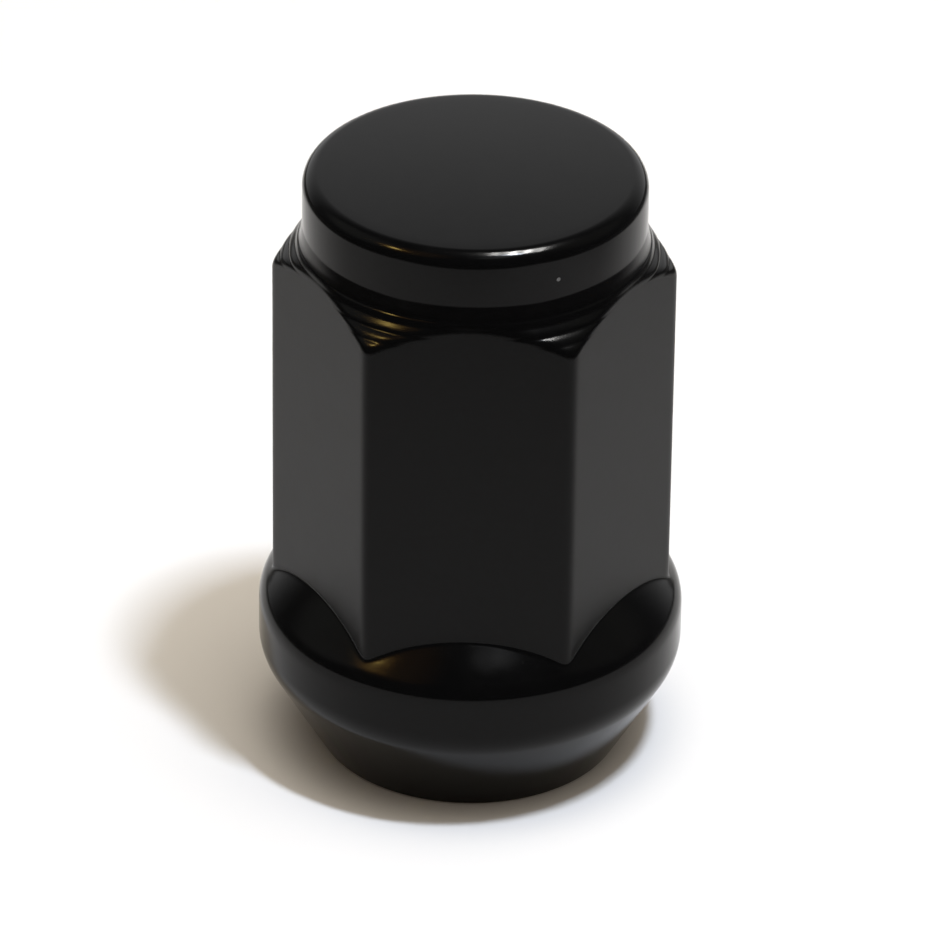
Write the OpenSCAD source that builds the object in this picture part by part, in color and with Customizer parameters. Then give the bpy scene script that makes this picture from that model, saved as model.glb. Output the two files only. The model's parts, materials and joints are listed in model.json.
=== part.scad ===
// Closed-end wheel nut: hexagonal body, round cap, rounded bulge and conical seat, in one piece.
// It stands on its open seat end: the origin is the centre of that face and +Z runs up to the closed end.

/* [Overall] */
// Length from the seat end to the closed end
nut_length = 35; // [28:0.5:50]

/* [Hexagon] */
// Width across the flats, the size of the socket that turns it
hex_width = 19; // [17:0.5:24]
// Rounding of the six upright corners
hex_corner_radius = 0.75; // [0.2:0.05:1.5]
// Steepness of the turned chamfer that ends the flats, in degrees from level
chamfer_slope = 52; // [35:1:65]

/* [Cap] */
// Distance that the cap's round wall stands back from the flats
cap_setback = 0.25; // [0.1:0.05:1.5]
// Height of the cap above the corner where its wall meets the chamfer
cap_height = 4; // [2.5:0.1:6]
// Height of the cap's slightly domed face above its rim
cap_crown = 0.2; // [0.05:0.05:0.5]
// Rounding of the cap's top edge
cap_edge_radius = 0.85; // [0.3:0.05:1.2]
// Fillet between the cap's wall and the chamfer
neck_fillet = 2.5; // [0.5:0.1:3]

/* [Bulge] */
// Distance that the bulge stands out past the hexagon's corners
bulge_overhang = 0.64; // [0.5:0.01:2]
// Height of the bulge's upright side, from the top of the seat to the shoulder
bulge_side = 3.4; // [2.8:0.1:6]
// Steepness of the shoulder that the flats run down to, in degrees from level
shoulder_slope = 44; // [30:1:55]
// Rounding between the shoulder and the bulge's side
shoulder_edge_radius = 1.8; // [0.4:0.1:2]
// Rounding between the bulge's side and the seat
bulge_radius = 2.9; // [1:0.1:3.2]

/* [Seat] */
// Full angle of the conical seat
seat_angle = 60; // [55:1:90]
// Width of the flat rim around the mouth, on which the nut stands
rim_width = 1.6; // [1:0.05:2]
// Rounding of the rim's outer edge
rim_edge_radius = 0.3; // [0.1:0.05:0.5]

/* [Thread] */
// Nominal diameter of the thread
thread_diameter = 12; // [10:0.5:14]
// Pitch of the thread
thread_pitch = 1.5; // [1:0.25:2]
// Distance that the countersunk mouth stands out past the thread
mouth_margin = 0.7; // [0.3:0.05:1]
// Full angle of the countersunk mouth
mouth_angle = 90; // [60:5:120]
// Thickness of the closed end above the tip of the drill point
end_wall = 4.9; // [3:0.1:8]
// Full angle of the drill point
drill_point_angle = 118; // [90:1:140]

/* [Hidden] */
$fn = 96;
// Largest turn between two points of an arc, in degrees
arc_step = 6;
// How far a cut runs past the face that it opens
cut_past = 1;

hex_apothem = hex_width / 2;
hex_reach = hex_apothem / cos(30);
cap_radius = hex_apothem - cap_setback;
bulge_max_radius = hex_reach + bulge_overhang;

// A metric thread's flanks stand at 30 degrees, and a nut keeps 5/8 of the sharp V's height
thread_height = 5 / 8 * thread_pitch * cos(30);
minor_radius = thread_diameter / 2 - thread_height;
mouth_radius = thread_diameter / 2 + mouth_margin;
mouth_spread = tan(mouth_angle / 2);
mouth_depth = (mouth_radius - minor_radius) / mouth_spread;
drill_tip = nut_length - end_wall;
hole_depth = drill_tip - minor_radius / tan(drill_point_angle / 2);

// Corners of the turned outlines, as [radius, height]
rim_corner = [mouth_radius + rim_width, 0];
seat_corner = [bulge_max_radius, (bulge_max_radius - rim_corner.x) / tan(seat_angle / 2)];
shoulder_corner = [bulge_max_radius, seat_corner.y + bulge_side];
shoulder_top = [cap_radius, shoulder_corner.y + (bulge_max_radius - cap_radius) * tan(shoulder_slope)];
neck_corner = [cap_radius, nut_length - cap_height];
chamfer_foot = [hex_reach, neck_corner.y - (hex_reach - cap_radius) * tan(chamfer_slope)];
cap_corner = [cap_radius, nut_length - cap_crown];

// The cap's face is a piece of a large sphere, up to this share of the turn to the cap's corner
crown_radius = (cap_radius ^ 2 + cap_crown ^ 2) / (2 * cap_crown);
crown_turn = asin(cap_radius / crown_radius);
crown_share = 0.85;
crown_steps = 6;

function unit(v) = v / norm(v);
function turned(v, angle) = [v.x * cos(angle) - v.y * sin(angle), v.x * sin(angle) + v.y * cos(angle)];

// Point of the cap's face at an angle from the axis
function crown_point(angle) = [crown_radius * sin(angle), nut_length - crown_radius * (1 - cos(angle))];

// Points of the arc that rounds a corner of an outline, between the points before and after it
function rounded(before, corner, after, radius) =
    let (
        back = unit(before - corner),
        on = unit(after - corner),
        half_angle = acos(back * on) / 2,
        centre = corner + unit(back + on) * radius / sin(half_angle),
        spoke = corner + back * radius / tan(half_angle) - centre,
        turn = sign(cross(on, back)) * (180 - 2 * half_angle),
        steps = ceil(abs(turn) / arc_step)
    )
    [for (i = [0:steps]) centre + turned(spoke, turn * i / steps)];

// Half outline of the turned upper end, from inside the bulge up to the cap
module upper_outline() {
    bar_foot = (seat_corner.y + shoulder_corner.y) / 2;
    crown = [for (i = [crown_steps:-1:0]) crown_point(crown_turn * crown_share * i / crown_steps)];
    polygon([
        [0, bar_foot],
        [hex_reach, bar_foot],
        chamfer_foot,
        each rounded(chamfer_foot, neck_corner, cap_corner, neck_fillet),
        each rounded(neck_corner, cap_corner, crown[0], cap_edge_radius),
        each crown
    ]);
}

// Half outline of the seat, the bulge and the shoulder, which runs on inside the flats
module lower_outline() {
    polygon([
        [0, 0],
        each rounded([0, 0], rim_corner, seat_corner, rim_edge_radius),
        each rounded(rim_corner, seat_corner, shoulder_corner, bulge_radius),
        each rounded(seat_corner, shoulder_corner, shoulder_top, shoulder_edge_radius),
        shoulder_top,
        [0, shoulder_top.y]
    ]);
}

// Hexagonal bar with rounded corners and one flat towards -Y
module hex_bar() {
    corners = [for (i = [0:5]) hex_reach * [cos(60 * i), sin(60 * i)]];
    linear_extrude(nut_length)
        polygon([
            for (i = [0:5])
                each rounded(corners[(i + 5) % 6], corners[i], corners[(i + 1) % 6], hex_corner_radius)
        ]);
}

// Blind hole at the thread's minor diameter, with its countersunk mouth and its drill point
module tapped_hole() {
    rotate_extrude()
        polygon([
            [0, -cut_past],
            [mouth_radius + cut_past * mouth_spread, -cut_past],
            [minor_radius, mouth_depth],
            [minor_radius, hole_depth],
            [0, drill_tip]
        ]);
}

module lug_nut() {
    color([0.03, 0.03, 0.032])
        difference() {
            union() {
                intersection() {
                    hex_bar();
                    rotate_extrude() upper_outline();
                }
                rotate_extrude() lower_outline();
            }
            tapped_hole();
        }
}

lug_nut();
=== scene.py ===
# %% [markdown]
# # A black wheel nut, turned, milled, tapped and coated
# A closed-end wheel nut is one piece of steel. A bar is turned to an outline, six flats are milled along
# it, a hole is drilled and tapped from the seat end, and the whole nut is coated black. This lesson makes
# its close-up look: the soft edges, the feed marks of the turning tool, the thread and the coating. The
# imported solid gives the frame, so it is loaded first, and its box gives the nut's length and its width
# over the bulge.

import json
import math

import bpy
import numpy as np
from mathutils import Matrix, Vector


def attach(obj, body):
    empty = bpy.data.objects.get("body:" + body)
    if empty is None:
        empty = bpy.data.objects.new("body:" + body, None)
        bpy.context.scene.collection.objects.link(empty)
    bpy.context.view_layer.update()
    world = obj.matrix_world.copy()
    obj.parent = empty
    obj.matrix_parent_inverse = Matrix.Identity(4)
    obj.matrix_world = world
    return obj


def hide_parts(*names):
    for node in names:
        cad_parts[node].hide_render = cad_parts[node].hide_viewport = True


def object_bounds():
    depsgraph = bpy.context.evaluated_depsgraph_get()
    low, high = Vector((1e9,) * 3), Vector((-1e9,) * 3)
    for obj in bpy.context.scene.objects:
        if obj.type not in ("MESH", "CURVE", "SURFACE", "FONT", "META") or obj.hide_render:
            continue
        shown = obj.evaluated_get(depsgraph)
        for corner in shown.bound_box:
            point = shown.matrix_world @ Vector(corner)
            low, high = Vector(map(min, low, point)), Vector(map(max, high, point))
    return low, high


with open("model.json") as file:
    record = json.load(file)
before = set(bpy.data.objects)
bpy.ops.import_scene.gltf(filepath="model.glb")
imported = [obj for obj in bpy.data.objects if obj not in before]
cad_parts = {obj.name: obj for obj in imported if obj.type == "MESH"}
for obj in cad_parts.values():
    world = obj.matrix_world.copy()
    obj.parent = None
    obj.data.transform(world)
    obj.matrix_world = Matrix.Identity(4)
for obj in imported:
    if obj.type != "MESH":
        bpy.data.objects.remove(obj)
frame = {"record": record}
cad_low, cad_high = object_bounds()
print("solid from", [round(x, 4) for x in cad_low], "to", [round(x, 4) for x in cad_high])

# %% [markdown]
# ## Sizes
# The length, the width over the bulge and the thread's bore come from the solid and its record, so they
# can't drift from it. The rest are the nut's own drawing sizes. Blender works in metres, and a nut is
# drawn in millimetres, so every drawing size is written as a number of millimetres times MM.

# %% Sizes of the nut
MM = 0.001
nut_length = cad_high.z - cad_low.z
bulge_radius = (cad_high.x - cad_low.x) / 2
stud_thread = next(m for m in frame["record"]["mounts"] if m["name"] == "stud_thread")
minor_radius = stud_thread["dims"]["r_mm"] * MM

hex_width = 19 * MM
cap_setback = 0.25 * MM
cap_radius = hex_width / 2 - cap_setback
cap_crown = 0.2 * MM
cap_edge = 0.85 * MM
cap_wall_foot = 3.25 * MM
neck_edge = 0.25 * MM
neck_length = 1.14 * MM
neck_lean = math.radians(11)
neck_fillet = 2.2 * MM
chamfer_slope = math.radians(48)
shoulder_slope = math.radians(44)
shoulder_bend = math.radians(5)
shoulder_middle = 10.3 * MM
shoulder_swell = 12 * MM
shoulder_edge = 1.8 * MM
bulge_side = 3.4 * MM
bulge_edge = 2.9 * MM
seat_half_angle = math.radians(30)
rim_radius = 8.3 * MM
rim_edge = 0.3 * MM
mouth_radius = 6.7 * MM
mouth_edge = 0.15 * MM
end_wall = 4.9 * MM
drill_half_angle = math.radians(59)

seat_top = (bulge_radius - rim_radius) / math.tan(seat_half_angle)
shoulder_foot = seat_top + bulge_side
neck_height = nut_length - cap_wall_foot
chamfer_top = neck_height - neck_length
mouth_depth = mouth_radius - minor_radius
drill_tip = nut_length - end_wall
hole_depth = drill_tip - minor_radius / math.tan(drill_half_angle)
print(f"length {nut_length / MM:.1f} mm, hole {hole_depth / MM:.2f} mm deep")

# %% [markdown]
# ## The turned outline
# On a lathe the tool follows an outline, and every corner of the real nut has a small radius. The outline
# could be a Bezier curve drawn by eye, but a list of corners with one radius each says exactly what a
# drawing says. This helper turns such a list into points, with an arc at each corner. The cap's face is a
# shallow dome, the corner under the cap's wall is crisp, and the shoulder swells a little, as a coining
# die leaves it.

# %% Corners to arcs
ARC_STEP = math.radians(4)
ARC_GAP = 0.1 * MM


def rounded_outline(corners):
    """Points (radius, height) of an outline given as (radius, height, rounding) corners."""
    places = [np.array(corner[:2]) for corner in corners]
    points = [places[0]]
    for before, corner, after, rounding in zip(places, places[1:], places[2:], [c[2] for c in corners[1:]]):
        if not rounding:
            points.append(corner)
            continue
        back = (before - corner) / np.linalg.norm(before - corner)
        on = (after - corner) / np.linalg.norm(after - corner)
        half_angle = math.acos(float(back @ on)) / 2
        bisector = (back + on) / np.linalg.norm(back + on)
        centre = corner + bisector * rounding / math.sin(half_angle)
        first = corner + back * rounding / math.tan(half_angle) - centre
        last = corner + on * rounding / math.tan(half_angle) - centre
        turn = math.pi - 2 * half_angle
        steps = max(2, math.ceil(turn / ARC_STEP), math.ceil(turn * rounding / ARC_GAP))
        for share in np.linspace(0, 1, steps + 1):
            spoke = first * math.sin((1 - share) * turn) + last * math.sin(share * turn)
            points.append(centre + spoke / math.sin(turn))
    points.append(places[-1])
    return np.array(points)


def spaced(points, gap):
    """The same outline with extra points, so that no two are further apart than gap."""
    filled = [points[0]]
    for start, end in zip(points, points[1:]):
        pieces = max(1, math.ceil(np.linalg.norm(end - start) / gap))
        filled += [start + (end - start) * i / pieces for i in range(1, pieces + 1)]
    return np.array(filled)


# The bar's own turned end: cap, neck and chamfer, drawn on past the hexagon's corners
chamfer_run = 6 * MM
neck_radius = cap_radius + neck_length * math.tan(neck_lean)
crown_share = 0.85
crown_points = 12
crown_radius = (cap_radius**2 + cap_crown**2) / (2 * cap_crown)
crown_turn = math.asin(cap_radius / crown_radius)
crown = [
    (crown_radius * math.sin(a), nut_length - crown_radius * (1 - math.cos(a)), 0)
    for a in np.linspace(0, crown_share * crown_turn, crown_points)
]
upper_outline = rounded_outline(crown + [
    (cap_radius, nut_length - cap_crown, cap_edge),
    (cap_radius, neck_height, neck_edge),
    (neck_radius, chamfer_top, neck_fillet),
    (neck_radius + chamfer_run / math.tan(chamfer_slope), chamfer_top - chamfer_run, 0),
])
# The shoulder, the bulge, the seat, the rim and the countersunk mouth, drawn on inside the flats
shoulder_inside = 0.8 * cap_radius
shoulder_lift = 0.06 * MM
middle_height = shoulder_foot + (bulge_radius - shoulder_middle) * math.tan(shoulder_slope) + shoulder_lift
inner_rise = (shoulder_middle - shoulder_inside) * math.tan(shoulder_slope - shoulder_bend)
outer_fall = (bulge_radius - shoulder_middle) * math.tan(shoulder_slope + shoulder_bend)
lower_outline = rounded_outline([
    (shoulder_inside, middle_height + inner_rise, 0),
    (shoulder_middle, middle_height, shoulder_swell),
    (bulge_radius, middle_height - outer_fall, shoulder_edge),
    (bulge_radius, seat_top, bulge_edge),
    (rim_radius, 0, rim_edge),
    (mouth_radius, 0, mouth_edge),
    (minor_radius, mouth_depth, mouth_edge),
    (minor_radius, mouth_depth + mouth_edge, 0),
])
print(len(upper_outline), "points on the turned end,", len(lower_outline), "on the bulge and seat")

# %% [markdown]
# ## Feed marks on the chamfer
# The chamfer still shows the feed of the turning tool: rounded ridges with narrow valleys between them,
# deep and shallow by turns, and the ridges catch the room's lights as fine lines. They could be a bump
# texture, but a visible shape belongs in the mesh, where the outline of the edge shows it too. From the
# middle of a ridge, the cut deepens with the square of the distance, which rounds the ridge and leaves
# the valley sharp. Above the marks, where the neck is still steep, the tool left one small step.

# %% Feed marks
feed = 0.66 * MM
feed_depth = 0.1 * MM
first_mark = 30.95 * MM
marks_top = 30.75 * MM
marks_foot = 29.2 * MM
marks_fade = 0.3 * MM
shallow_share = 0.5


def mark_share(height):
    """Share of the full feed marks at a height: all of them on the chamfer, none above or below it."""
    return np.clip(min(marks_top - height, height - marks_foot) / marks_fade, 0, 1)


def feed_mark(height):
    """How far the tool cut below the chamfer at a height, zero on the ridges."""
    along = (first_mark - height) / math.sin(chamfer_slope) / feed
    across = 2 * (along % 1) - 1
    uneven = (1 + shallow_share) / 2 + (1 - shallow_share) / 2 * math.cos(math.pi * along)
    return feed_depth * uneven * mark_share(height) * across * across


# The step where the neck runs into the chamfer is wider below
step_height = 30.84 * MM
step_size = 0.042 * MM
step_run = 0.1 * MM


def neck_step(height):
    """Change of radius by the step, which leaves both ends of the neck where they were."""
    passed = np.clip((step_height - height) / step_run, 0, 1)
    evenly = np.clip((neck_height - height) / neck_length, 0, 1)
    return step_size * (passed * passed * (3 - 2 * passed) - evenly)


print(f"feed {feed / MM} mm, marks up to {feed_depth / MM} mm deep, a step of {step_size / MM} mm")

# %% [markdown]
# ## Rows of the mesh
# The nut's skin is one closed sheet of rows and columns: the rows run from the middle of the cap down the
# outside, round the rim and up the hole to the drill's tip. Each row carries what the lathe and the tap
# know about it: its height, the radius of the solid there, the radius that the bar was turned to, whether
# the feed marks have begun, how deep the thread is and how far the row climbs in one turn. Rows lie close
# where the flats cross a cone, and far apart where nothing changes.

# %% Rows of the outside
fine_row = 0.06 * MM
coarse_row = 1.6 * MM
bulge_row = 0.3 * MM
step_row = 0.025 * MM
seat_row = 0.5 * MM
neck_top = neck_height + 0.3 * MM
chamfer_bottom = chamfer_top - 2.2 * MM
flats_bottom = shoulder_foot + 2.6 * MM
scallops_foot = shoulder_foot - 0.4 * MM
bulge_middle = (shoulder_foot + seat_top) / 2

cap_points = spaced(upper_outline[upper_outline[:, 1] > neck_top], coarse_row)
seat_points = spaced(lower_outline[np.argmin(lower_outline[:, 1] > bulge_middle):], seat_row)


def levels(high, low, gap):
    """Heights from high down towards low, about gap apart, without low itself."""
    return np.linspace(high, low, math.ceil((high - low) / gap), endpoint=False)


side_heights = np.concatenate([
    levels(neck_top, step_height, fine_row),
    levels(step_height, step_height - step_run, step_row),
    levels(step_height - step_run, chamfer_bottom, fine_row),
    levels(chamfer_bottom, flats_bottom, coarse_row),
    levels(flats_bottom, scallops_foot, fine_row),
    levels(scallops_foot, bulge_middle, bulge_row),
])
upper_side = upper_outline[::-1]
lower_side = lower_outline[lower_outline[:, 1] > seat_top][::-1]

rows = [dict(height=z, solid=r) for r, z in cap_points]
for z in side_heights:
    solid = np.interp(z, lower_side[:, 1], lower_side[:, 0], right=0)
    bar = np.interp(z, upper_side[:, 1], upper_side[:, 0]) - feed_mark(z) + neck_step(z)
    rows.append(dict(height=z, solid=solid, bar=bar, marked=np.clip((marks_top - z) / marks_fade, 0, 1)))
rows += [dict(height=z, solid=r) for r, z in seat_points]
print("rows on the cap, side and seat:", len(cap_points), len(side_heights), len(seat_points))

# %% [markdown]
# ## Rows of the thread
# The thread in the hole is right-handed, M12 with a pitch of 1.5 mm. A thread could be cut with level
# rows, but then its edges would step from row to row. Here each row climbs one pitch in one turn, so a
# row runs along the crest, the flank or the root all the way. The first and the last few rows gather at
# one point of the seam, which closes the sheet where the climbing rows begin and end.

# %% Rows of the hole
thread_pitch = 1.5 * MM
# A metric nut's thread keeps 5/8 of the sharp V, with a crest of 1/4 and a root of 1/8 of the pitch
thread_depth = 5 / 8 * thread_pitch * math.cos(math.pi / 6)
crest_end = 1 / 4
root_start = crest_end + 5 / 16
root_end = root_start + 1 / 8
edge_share = 0.03
edge_depth = 0.1
# Share of the pitch, and share of the depth, at each row of one turn
turn_rows = [
    (0, 0), (crest_end - edge_share, 0), (crest_end + edge_share, edge_depth),
    (root_start - edge_share, 1 - edge_depth), (root_start + edge_share, 1),
    (root_end - edge_share, 1), (root_end + edge_share, 1 - edge_depth), (1 - edge_share, edge_depth),
]
thread_start = mouth_depth + mouth_edge
thread_turns = math.floor((hole_depth - thread_start) / thread_pitch)
thread_end = thread_start + thread_turns * thread_pitch

for turn in range(thread_turns + 1):
    for share, depth in turn_rows:
        rows.append(dict(
            height=thread_start + max(turn + share - 1, 0) * thread_pitch,
            solid=minor_radius,
            cut=depth * thread_depth,
            climb=min(1, turn + share, thread_turns + 1 - turn - share),
        ))
rows.append(dict(height=thread_end, solid=minor_radius))

hole_end = spaced(np.array([(minor_radius, hole_depth), (0, drill_tip)]), coarse_row)
rows += [dict(height=z, solid=r) for r, z in hole_end]
print(thread_turns, "turns of thread;", len(rows), "rows in all")

# %% [markdown]
# ## Writing nodes as sums
# Geometry Nodes and materials both work numbers out with Math nodes, and a formula drawn as a chain of
# boxes is hard to read back. This small class wraps one socket, so that `1 - mask` in Python adds the
# nodes for us. Any other node comes from one method, which takes the node's type, its settings and what
# goes into its sockets.

# %% A wire and a bench
class Wire:
    """One output socket of a node tree. Sums on wires add Math nodes to the tree."""

    def __init__(self, bench, socket):
        self.bench, self.socket = bench, socket

    def math(self, operation, *others):
        values = dict(enumerate([self, *others]))
        return self.bench.node("ShaderNodeMath", {"operation": operation}, values)

    def output(self, name):
        return Wire(self.bench, self.socket.node.outputs[name])

    def __add__(self, other):
        return self.math("ADD", other)

    def __radd__(self, other):
        return self.math("ADD", other)

    def __sub__(self, other):
        return self.math("SUBTRACT", other)

    def __rsub__(self, other):
        return (self.math("MULTIPLY", -1)).math("ADD", other)

    def __mul__(self, other):
        return self.math("MULTIPLY", other)

    def __rmul__(self, other):
        return self.math("MULTIPLY", other)

    def __truediv__(self, other):
        return self.math("DIVIDE", other)

    def __rtruediv__(self, other):
        return (self.math("POWER", -1)).math("MULTIPLY", other)


class Bench:
    """A node tree to which nodes are added by type, settings and socket values."""

    def __init__(self, tree):
        self.tree = tree

    def node(self, kind, settings=None, sockets=None, output=0):
        made = self.tree.nodes.new(kind)
        for name, value in (settings or {}).items():
            if name == "stops":
                set_stops(made.color_ramp, value)
            else:
                setattr(made, name, value)
        for name, value in (sockets or {}).items():
            if isinstance(value, Wire):
                self.tree.links.new(value.socket, made.inputs[name])
            else:
                made.inputs[name].default_value = value
        if made.outputs:
            return Wire(self, made.outputs[output])


def set_stops(ramp, stops):
    """Gives a colour ramp its stops, as (place, grey) pairs."""
    while len(ramp.elements) < len(stops):
        ramp.elements.new(1)
    for element, (place, grey) in zip(ramp.elements, stops):
        element.position = place
        element.color = (grey, grey, grey, 1)


print("nodes are written as sums from here on")

# %% [markdown]
# ## The black coating
# The coating is a thin black film over the turned and milled steel, between satin and gloss. One flat
# black would look like a hole in the picture. The real film has a faint orange peel, a gloss that wanders
# a little, and grains of dust in it. These are three noises at their own scales, on Object coordinates,
# so that they stay on the nut. The film's clear surface mirrors less than plain paint does, which is what
# keeps it deep black beside a white floor. It lies smooth on the cap and the bulge and rougher on the
# flats and the feed marks, and one small spot on the cap's wall is grey. The shares of lathe and mill
# come from the mesh as attributes.

# %% Coating
coating_black = (0.0008, 0.0008, 0.0009, 1)
coating_grey = (0.0032, 0.0031, 0.0031, 1)
peel_size = 0.35 * MM
peel_height = 0.0012 * MM
cloud_size = 1.4 * MM
grain_size = 0.12 * MM
cloud_tint, grain_tint = 0.5, 0.35
noise_roughness = 0.55
cloud_detail, peel_detail, grain_detail = 3, 2, 1
grain_stops = [(0.66, 0), (0.76, 1)]
film_index = 1.5
film_mirror = 0.104
film_roughness = 0.1
cloud_roughness = 0.06
grain_roughness = 0.05
lathe_roughness = 0.06
milled_roughness = 0.2
# A small grey spot on the cap's wall, mixed into the film's colour
grey_spot_place = Vector((4.58, -8.04, 32.88)) * MM
grey_spot_radius = 0.14 * MM
grey_spot_core = 0.6 * grey_spot_radius
grey_spot_colour = (0.12, 0.12, 0.12, 1)


def black_coating():
    """The film on the nut, as a material."""
    material = bpy.data.materials.new("black_coating")
    material.use_nodes = True
    bench = Bench(material.node_tree)
    film = material.node_tree.nodes["Principled BSDF"]
    film.inputs["IOR"].default_value = film_index
    film.inputs["Specular IOR Level"].default_value = film_mirror

    place = bench.node("ShaderNodeTexCoord").output("Object")

    def noise(size, detail):
        sockets = {"Vector": place, "Scale": 1 / size, "Detail": detail, "Roughness": noise_roughness}
        return bench.node("ShaderNodeTexNoise", None, sockets)

    cloud = noise(cloud_size, cloud_detail)
    peel = noise(peel_size, peel_detail)
    dust = noise(grain_size, grain_detail)
    grain = bench.node("ShaderNodeValToRGB", {"stops": grain_stops}, {"Fac": dust})
    tint = bench.node(
        "ShaderNodeMix",
        {"data_type": "RGBA"},
        {"Factor": cloud * cloud_tint + grain * grain_tint, "A": coating_black, "B": coating_grey},
        "Result",
    )
    # Mask of the small grey spot on the cap's wall
    reach = bench.node(
        "ShaderNodeVectorMath", {"operation": "DISTANCE"}, {0: place, 1: grey_spot_place}, "Value"
    )
    grey_spot = bench.node(
        "ShaderNodeMapRange",
        {"interpolation_type": "SMOOTHSTEP"},
        {"Value": reach, "From Min": grey_spot_core, "From Max": grey_spot_radius, "To Min": 1, "To Max": 0},
    )
    tint = bench.node(
        "ShaderNodeMix", {"data_type": "RGBA"}, {"Factor": grey_spot, "A": tint, "B": grey_spot_colour}, "Result"
    )
    links = material.node_tree.links
    links.new(tint.socket, film.inputs["Base Color"])
    lathe_only, milled_only = [
        bench.node("ShaderNodeAttribute", {"attribute_name": name}, None, "Fac")
        for name in ("lathe_only", "milled_only")
    ]
    roughness = film_roughness + cloud_roughness * cloud + grain_roughness * grain
    roughness = roughness + lathe_roughness * lathe_only + milled_roughness * milled_only
    links.new(roughness.socket, film.inputs["Roughness"])
    relief = bench.node(
        "ShaderNodeBump", None, {"Strength": 1.0, "Distance": peel_height, "Height": peel}, "Normal"
    )
    links.new(relief.socket, film.inputs["Normal"])
    return material


coating = black_coating()
print("coating made with", len(coating.node_tree.nodes), "nodes")

# %% [markdown]
# ## Turning and milling with Geometry Nodes
# The nut's shape follows a rule: at every height, a bar with six flats, no wider than the lathe left it,
# and no narrower than the bulge. So the tree lays out a grid, reads each row's sizes from the outline,
# and works out every vertex's radius. Smooth Minimum and Smooth Maximum are the trick: they round the
# edges where a flat crosses a cone, and that crossing is the scalloped line that shows on every such nut.
# A Boolean would cut it too, but would leave it knife-sharp, and a Bevel on that edge tends to break at
# the corners. The same radii tell which skin the lathe left and which the mill left, and both shares are
# stored for the coating.

# %% Turning tree
FLATS = 6
SECTOR = math.tau / FLATS
# Keeps a whole number whole when it is rounded down
FLOOR_GUARD = 1e-4
MERGE_GAP = 1e-7


def turning_tree():
    """Node group that turns rows of an outline into the skin of a nut."""
    group = bpy.data.node_groups.new("turn_mill_and_tap", "GeometryNodeTree")
    sockets = {}
    for name, kind in {
        "Outline": "NodeSocketGeometry",
        "Columns per flat": "NodeSocketInt",
        "Crowding at corners": "NodeSocketFloat",
        "Hexagon width": "NodeSocketFloat",
        "Corner softness": "NodeSocketFloat",
        "Chamfer softness": "NodeSocketFloat",
        "Shoulder softness": "NodeSocketFloat",
        "Thread pitch": "NodeSocketFloat",
        "Thread start": "NodeSocketFloat",
        "Thread end": "NodeSocketFloat",
        "Coating": "NodeSocketMaterial",
    }.items():
        sockets[name] = group.interface.new_socket(name, in_out="INPUT", socket_type=kind).identifier
    group.interface.new_socket("Nut", in_out="OUTPUT", socket_type="NodeSocketGeometry")
    bench = Bench(group)
    given = bench.node("NodeGroupInput")
    outline = given.output("Outline")

    row_count = bench.node("GeometryNodeAttributeDomainSize", None, {"Geometry": outline}, "Point Count")
    columns = given.output("Columns per flat") * FLATS
    grid = bench.node(
        "GeometryNodeMeshGrid", None, {"Vertices X": columns + 1, "Vertices Y": row_count}, "Mesh"
    )
    index = bench.node("GeometryNodeInputIndex")
    column = (index / row_count + FLOOR_GUARD).math("FLOOR")
    row = index - column * row_count

    def of_row(name):
        value = bench.node("GeometryNodeInputNamedAttribute", {"data_type": "FLOAT"}, {"Name": name})
        return bench.node(
            "GeometryNodeSampleIndex",
            {"data_type": "FLOAT", "domain": "POINT"},
            {"Geometry": outline, "Value": value, "Index": row},
        )

    flat_share = column / given.output("Columns per flat")
    flat_number = (flat_share + FLOOR_GUARD).math("FLOOR")
    plain = flat_share - flat_number
    crowd = given.output("Crowding at corners") / math.tau
    across = plain - crowd * (plain * math.tau).math("SINE")
    angle = (flat_number + across) * SECTOR

    apothem = given.output("Hexagon width") / 2
    from_middle = ((across - 0.5) * SECTOR).math("ABSOLUTE")
    flat = apothem / from_middle.math("COSINE")
    next_flat = apothem / (SECTOR - from_middle).math("COSINE")
    hexagon = flat.math("SMOOTH_MIN", next_flat, given.output("Corner softness"))
    milled = hexagon.math("SMOOTH_MIN", of_row("bar"), given.output("Chamfer softness"))
    turned = milled.math("SMOOTH_MAX", of_row("solid"), given.output("Shoulder softness"))

    pitch = given.output("Thread pitch")
    height = of_row("height") + of_row("climb") * pitch * angle / math.tau
    started = ((height - given.output("Thread start")) / pitch).math("MINIMUM", 1)
    ended = ((given.output("Thread end") - height) / pitch).math("MINIMUM", 1)
    radius = turned + of_row("cut") * (started * ended).math("MAXIMUM", 0)

    past_chamfer = (hexagon - of_row("bar")) / given.output("Chamfer softness")
    past_shoulder = (hexagon - of_row("solid")) / given.output("Shoulder softness")
    lathe_only = (past_chamfer.math("MINIMUM", 1) * of_row("marked")).math("MAXIMUM", 0)
    milled_only = (past_chamfer * -1).math("MINIMUM", past_shoulder).math("MINIMUM", 1).math("MAXIMUM", 0)

    place = bench.node(
        "ShaderNodeCombineXYZ",
        None,
        {"X": radius * angle.math("COSINE"), "Y": radius * angle.math("SINE"), "Z": height},
    )
    for name, share in {"lathe_only": lathe_only, "milled_only": milled_only}.items():
        grid = bench.node(
            "GeometryNodeStoreNamedAttribute",
            {"data_type": "FLOAT", "domain": "POINT"},
            {"Geometry": grid, "Name": name, "Value": share},
        )
    skin = bench.node("GeometryNodeSetPosition", None, {"Geometry": grid, "Position": place})
    skin = bench.node("GeometryNodeMergeByDistance", None, {"Geometry": skin, "Distance": MERGE_GAP})
    skin = bench.node("GeometryNodeFlipFaces", None, {"Mesh": skin})
    skin = bench.node("GeometryNodeSetShadeSmooth", None, {"Geometry": skin, "Shade Smooth": True})
    skin = bench.node("GeometryNodeRealizeInstances", None, {"Geometry": skin})
    film = given.output("Coating")
    skin = bench.node("GeometryNodeSetMaterial", None, {"Geometry": skin, "Material": film})
    bench.node("NodeGroupOutput", None, {"Nut": skin})
    return group, sockets


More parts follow.
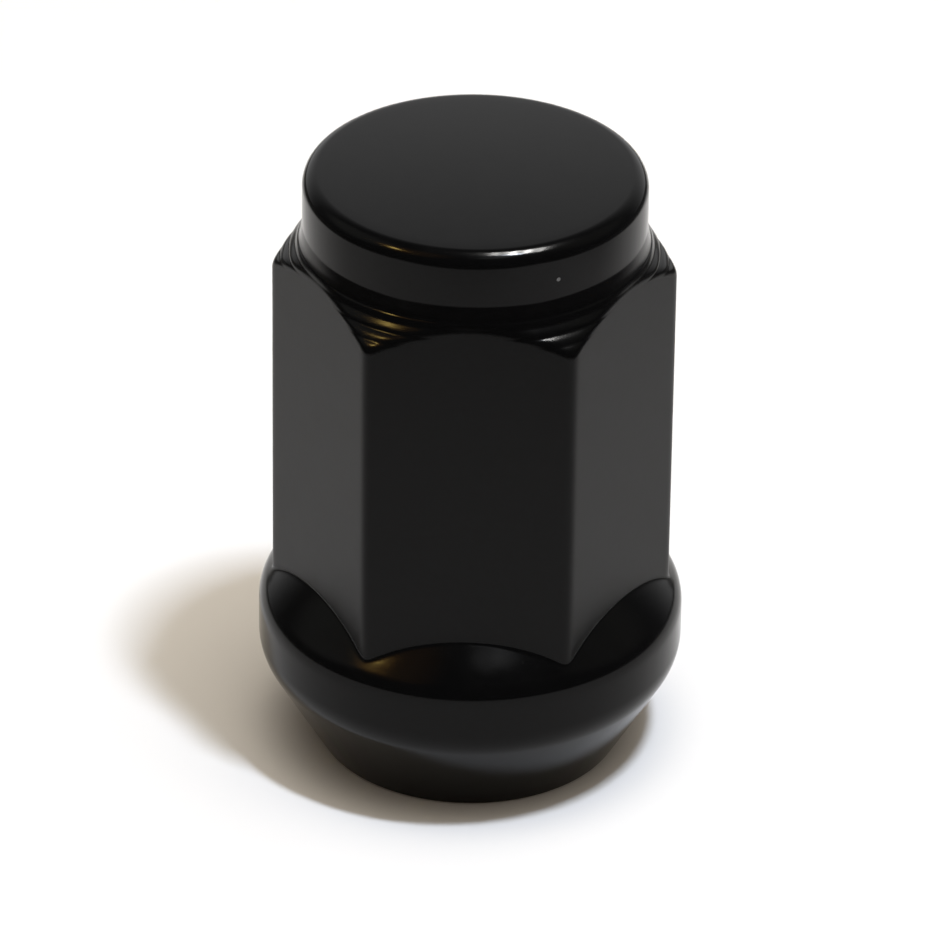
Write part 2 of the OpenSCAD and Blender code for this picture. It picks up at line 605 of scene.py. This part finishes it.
turning, turning_inputs = turning_tree()
print("turning tree of", len(turning.nodes), "nodes with inputs", ", ".join(turning_inputs))

# %% [markdown]
# ## The finished nut
# The outline goes in as a mesh with one vertex for each row, carrying the row's sizes as attributes. The
# modifier's inputs are set by identifier before it is first worked out. The result becomes a plain mesh,
# which stands in for the solid and rides with it.

# %% Make the nut
# What each row carries, and the value where a row says nothing: a bar of -1 lies inside any solid
ROW_SIZES = {"height": 0, "solid": 0, "bar": -1, "marked": 0, "cut": 0, "climb": 0}
turning_sizes = {
    "Columns per flat": 42,
    "Crowding at corners": 0.86,
    "Hexagon width": hex_width,
    "Corner softness": 0.7 * MM,
    "Chamfer softness": 0.4 * MM,
    "Shoulder softness": 0.12 * MM,
    "Thread pitch": thread_pitch,
    "Thread start": thread_start,
    "Thread end": thread_end,
    "Coating": coating,
}


def outline_object():
    """The rows as loose vertices, with their sizes as attributes."""
    mesh = bpy.data.meshes.new("nut_outline")
    mesh.from_pydata([(row["solid"], 0, row["height"]) for row in rows], [], [])
    for name in ROW_SIZES:
        values = mesh.attributes.new(name, "FLOAT", "POINT").data
        values.foreach_set("value", [row.get(name, ROW_SIZES[name]) for row in rows])
    made = bpy.data.objects.new("nut_outline", mesh)
    bpy.context.scene.collection.objects.link(made)
    return made


def finished_piece(source, group, inputs, sizes, name):
    """Runs a node group on an object and returns its result as a plain mesh object."""
    modifier = source.modifiers.new("work", "NODES")
    modifier.node_group = group
    for label, value in sizes.items():
        modifier[inputs[label]] = value
    worked = source.evaluated_get(bpy.context.evaluated_depsgraph_get())
    mesh = bpy.data.meshes.new_from_object(worked)
    bpy.data.objects.remove(source)
    made = bpy.data.objects.new(name, mesh)
    bpy.context.scene.collection.objects.link(made)
    return made


nut = finished_piece(outline_object(), turning, turning_inputs, turning_sizes, "coated_nut")
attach(nut, "root")
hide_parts("lug_nut")
triangle_count = sum(len(face.vertices) - 2 for face in nut.data.polygons)
print(len(nut.data.vertices), "vertices,", triangle_count, "triangles")

# %% [markdown]
# ## Floor
# The nut stands on a white sheet. It is a plain pale floor that keeps the shadow, big enough that no view
# from above reaches its edge, and it isn't part of the object. Past the sheet, in front and to both sides,
# mirror rays see the floor dark, and the film shows it on every edge that leans up. A second plane could
# do that. In front of the nut the floor is painted a little whiter for mirror rays only: painted light that
# brightens the front flat's reflection. That needs no second object, and a camera still sees a plain sheet.

# %% Floor
floor_size = 1.6
floor_white = (0.86, 0.86, 0.86, 1)
# Past the sheet, mirror rays see the floor this dark
off_sheet_dark = (0.1, 0.1, 0.1, 1)
sheet_front = 85 * MM
sheet_left = 84 * MM
sheet_right = 76 * MM
front_blur = 25 * MM
side_blur = 15 * MM
near_end = 15 * MM
near_blur = 12 * MM
# Painted light: in front of the nut, mirror rays see the floor this white
painted_front_white = (1, 1, 1, 1)
sheet_roughness = 0.9
sheet_mirror = 0.1


def white_floor():
    """The sheet under the nut."""
    half = floor_size / 2
    mesh = bpy.data.meshes.new("floor")
    corners = [(-half, -half, 0), (half, -half, 0), (half, half, 0), (-half, half, 0)]
    mesh.from_pydata(corners, [], [(0, 1, 2, 3)])
    material = bpy.data.materials.new("white_sheet")
    material.use_nodes = True
    bench = Bench(material.node_tree)
    sheet = material.node_tree.nodes["Principled BSDF"]
    place = bench.node("ShaderNodeTexCoord").output("Object")
    right, back = [bench.node("ShaderNodeSeparateXYZ", None, {"Vector": place}, axis) for axis in "XY"]
    in_front, left = back * -1, right * -1
    mirrored = bench.node("ShaderNodeLightPath").output("Is Glossy Ray")

    def past(way, edge, blur):
        sockets = {"Value": way, "From Min": edge - blur, "From Max": edge + blur}
        return mirrored * bench.node("ShaderNodeMapRange", {"interpolation_type": "SMOOTHSTEP"}, sockets)

    def mixed(share, first, second):
        sockets = {"Factor": share, "A": first, "B": second}
        return bench.node("ShaderNodeMix", {"data_type": "RGBA"}, sockets, "Result")

    # Painted light: in front of the nut, mirror rays see the floor whiter
    near = mixed(past(in_front, near_end, near_blur), floor_white, painted_front_white)
    beside = past(left, sheet_left, side_blur).math("MAXIMUM", past(right, sheet_right, side_blur))
    off_sheet = past(in_front, sheet_front, front_blur).math("MAXIMUM", beside)
    colour = mixed(off_sheet, near, off_sheet_dark)
    material.node_tree.links.new(colour.socket, sheet.inputs["Base Color"])
    sheet.inputs["Roughness"].default_value = sheet_roughness
    sheet.inputs["Specular IOR Level"].default_value = sheet_mirror
    mesh.materials.append(material)
    made = bpy.data.objects.new("floor", mesh)
    bpy.context.scene.collection.objects.link(made)


white_floor()
print("floor", floor_size, "m square")

# %% [markdown]
# ## Lamps
# One lamp stands high at the right and in front, and throws the short shadow to the left. A row of
# ceiling tubes shows only as a row of glints on the cap's edge, so its light on matt surfaces is turned
# off. A tube could be a glowing mesh, but a flat lamp gives less noise.

# %% Lamps
lamp_distance = 0.6


def lamp(name, toward, along, size, power, colour):
    """A flat lamp in a direction from the nut, shining on it, with its first side along another one."""
    light = bpy.data.lights.new(name, "AREA")
    light.shape = "RECTANGLE"
    light.size, light.size_y = size
    light.energy = power
    light.color = colour
    made = bpy.data.objects.new(name, light)
    direction = Vector(toward).normalized()
    side = (Vector(along) - direction * direction.dot(along)).normalized()
    axes = Matrix((side, direction.cross(side), direction)).transposed().to_4x4()
    made.matrix_world = Matrix.Translation(direction * lamp_distance + Vector((0, 0, nut_length / 2))) @ axes
    bpy.context.scene.collection.objects.link(made)
    return made


key_toward = (0.27, -0.207, 1)
key_along = (0.61, 0.79, 0)
key_size = (0.035, 0.07)
key_power = 2.72
key_colour = (0.79, 0.87, 1)
key_lamp = lamp("key_lamp", key_toward, key_along, key_size, key_power, key_colour)
# The tubes' powers from left to right; each runs away from the camera, so it shows as a short spot
tube_powers = [1.5, 4, 4, 1.5]
tube_size = (0.25, 0.01)
tube_white = (1, 0.98, 0.95)
first_tube, last_tube = 0.105, 0.385
tubes_back, tubes_up = -0.01, 0.95
tubes_run = -0.86
for place, power in zip(np.linspace(first_tube, last_tube, len(tube_powers)), tube_powers):
    tube_toward = (place, tubes_back, tubes_up)
    tube = lamp("tube", tube_toward, (place, tubes_run, 0), tube_size, power, tube_white)
    tube.visible_diffuse = False
print(key_lamp.name, "and", len(tube_powers), "tubes")

# %% [markdown]
# ## Room
# The room is dark above and a little lighter behind, so the flats mirror the white floor while the
# chamfer and the shoulder, which face up, stay almost black. A warm light at the left and some pale
# patches are seen only in the film, as golden and grey glints. A picture of a real room could do the
# same, but patches can be placed one by one. The room's light on the floor is a warm fill, and a camera
# sees plain white where the floor ends.

# %% Room
ceiling_fill = (1, 0.91, 0.77, 1)
ceiling_level = 3.25
ceiling_from = (0.08, -0.03, 1)
ceiling_narrowing = 7
wall_fill = (1, 0.55, 0.28, 1)
wall_level = 0.04
room_dark = 0.14
room_back = 1.28
back_begins = 0.45
room_white = (1, 1, 1, 1)
# Soft patches of the room in the film: direction, angles where each is full and gone, colour and level
room_patches = [
    ((-0.5, -0.38, 0.78), 4, 24, (1, 0.46, 0.1, 1), 0.4),
    ((-0.62, -0.31, 0.72), 3, 11, (1, 0.48, 0.09, 1), 2.4),
    ((-0.62, -0.31, 0.72), 1, 4, (1, 0.72, 0.2, 1), 60),
    ((-0.78, 0.05, 0.63), 5, 30, (1, 1, 0.92, 1), 0.4),
    ((0.78, 0.05, 0.63), 5, 30, (1, 1, 0.85, 1), 0.2),
    ((0.14, -0.47, 0.87), 2, 9, (1, 1, 1, 1), 1),
    ((0.26, -0.44, 0.86), 1, 7, (1, 1, 1, 1), 0.9),
]


def room():
    """The world around the nut: white to the camera, dim to mirrors, a warm fill to matt surfaces."""
    world = bpy.data.worlds.new("room")
    world.use_nodes = True
    world.node_tree.nodes.clear()
    bench = Bench(world.node_tree)
    rays = bench.node("ShaderNodeLightPath")
    direction = bench.node("ShaderNodeTexCoord").output("Generated")
    behind, up = [bench.node("ShaderNodeSeparateXYZ", None, {"Vector": direction}, axis) for axis in "YZ"]

    def toward(goal):
        sockets = {0: direction, 1: Vector(goal).normalized()}
        return bench.node("ShaderNodeVectorMath", {"operation": "DOT_PRODUCT"}, sockets, "Value")

    def rising(value, low, high):
        sockets = {"Value": value, "From Min": low, "From Max": high}
        return bench.node("ShaderNodeMapRange", {"interpolation_type": "SMOOTHSTEP"}, sockets)

    def light(colour, strength):
        return bench.node("ShaderNodeBackground", None, {"Color": colour, "Strength": strength})

    def added(first, second):
        return bench.node("ShaderNodeAddShader", None, {0: first, 1: second})

    seen = rays.output("Is Camera Ray")
    mirrored = rays.output("Is Glossy Ray")
    above = up.math("MAXIMUM", 0)
    back_wall = room_dark + rising(behind, back_begins, 1) * (1 - above * above) * (room_back - room_dark)
    matt = (1 - seen) * (1 - mirrored)
    shown = light(room_white, seen + mirrored * back_wall)
    overhead = toward(ceiling_from).math("MAXIMUM", 0).math("POWER", ceiling_narrowing)
    shown = added(shown, light(ceiling_fill, matt * overhead * ceiling_level))
    shown = added(shown, light(wall_fill, matt * wall_level))
    for goal, full, gone, colour, level in room_patches:
        patch = rising(toward(goal), math.cos(math.radians(gone)), math.cos(math.radians(full)))
        shown = added(shown, light(colour, mirrored * patch * level))
    bench.node("ShaderNodeOutputWorld", None, {"Surface": shown})
    bpy.context.scene.world = world


room()
bpy.context.scene.view_settings.view_transform = "Standard"
print("room mirrored from", room_dark, "in front to", room_back, "low behind")

# %% [markdown]
# ## Camera
# The photograph was taken from some way off with a long lens, looking down at about 31 degrees on one
# flat. The camera could be turned by hand until it looks right. Here its axes are written out from those
# angles, because a fitted angle is then one number that can be corrected by itself.

# %% Camera
IMAGE_SIDE = 940
focal_pixels = 7939
camera_pitch = math.radians(31)
camera_roll = math.radians(0.73)
camera_azimuth = math.radians(1.12)
camera_distance = 432.1 * MM
sensor_width = 36
nearest_seen, furthest_seen = 0.01, 10
aim = Vector((-0.102, 0, 16.263)) * MM


def long_lens_camera():
    """The camera, with its right, up and backward axes as the columns of its matrix."""
    data = bpy.data.cameras.new("camera")
    data.sensor_width = sensor_width
    data.lens = sensor_width * focal_pixels / IMAGE_SIDE
    data.clip_start, data.clip_end = nearest_seen, furthest_seen
    ahead = Vector((0, math.cos(camera_pitch), -math.sin(camera_pitch)))
    level = Vector((1, 0, 0))
    upright = level.cross(ahead)
    right = level * math.cos(camera_roll) + upright * math.sin(camera_roll)
    up = upright * math.cos(camera_roll) - level * math.sin(camera_roll)
    axes = Matrix((right, up, -ahead)).transposed().to_4x4()
    made = bpy.data.objects.new("camera", data)
    round_nut = Matrix.Rotation(camera_azimuth, 4, "Z")
    made.matrix_world = round_nut @ Matrix.Translation(aim - ahead * camera_distance) @ axes
    bpy.context.scene.collection.objects.link(made)
    bpy.context.scene.camera = made
    return made


camera = long_lens_camera()
print(f"lens {camera.data.lens:.0f} mm, {camera_distance / MM:.0f} mm from the nut")
